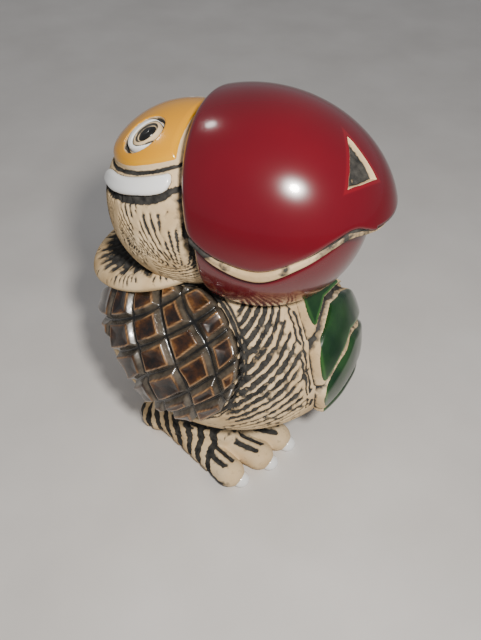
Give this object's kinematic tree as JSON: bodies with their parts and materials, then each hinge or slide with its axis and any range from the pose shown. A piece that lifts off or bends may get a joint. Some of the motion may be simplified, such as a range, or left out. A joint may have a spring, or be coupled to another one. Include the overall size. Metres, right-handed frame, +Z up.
{
  "type": "toucan figurine",
  "caption": "Small hand-carved glazed stoneware toucan ornament with a very large beak, carved lattice wings, a leafy chest plume, a fan tail and broad toed feet.",
  "frame": {"origin": "on the table, under the middle of the object's box", "axes": "+X where the beak points, +Y the bird's left, +Z up"},
  "size_m": [0.0544, 0.0464, 0.0736],
  "materials": {
    "bare_clay": "unglazed, dark wash rubbed into the carving",
    "crimson_glaze": "gloss",
    "yellow_glaze": "gloss",
    "white_glaze": "gloss",
    "black_glaze": "gloss",
    "amber_glaze": "gloss, breaking to amber on the edges",
    "green_glaze": "gloss"
  },
  "bodies": {
    "root": {"body": "bare_clay", "head": "bare_clay", "beak_lip": "bare_clay", "tail": "bare_clay", "right_foot": "bare_clay", "left_foot": "bare_clay", "upper_beak": "crimson_glaze", "lower_beak": "crimson_glaze", "crown": "yellow_glaze", "right_eye_white": "white_glaze", "left_eye_white": "white_glaze", "right_pupil": "black_glaze", "left_pupil": "black_glaze", "right_cheek_band": "white_glaze", "left_cheek_band": "white_glaze", "right_wing": "amber_glaze", "left_wing": "amber_glaze", "plume": "green_glaze", "right_outer_claw": "white_glaze", "right_middle_claw": "white_glaze", "right_inner_claw": "white_glaze", "left_outer_claw": "white_glaze", "left_middle_claw": "white_glaze", "left_inner_claw": "white_glaze"}
  },
  "joints": []
}
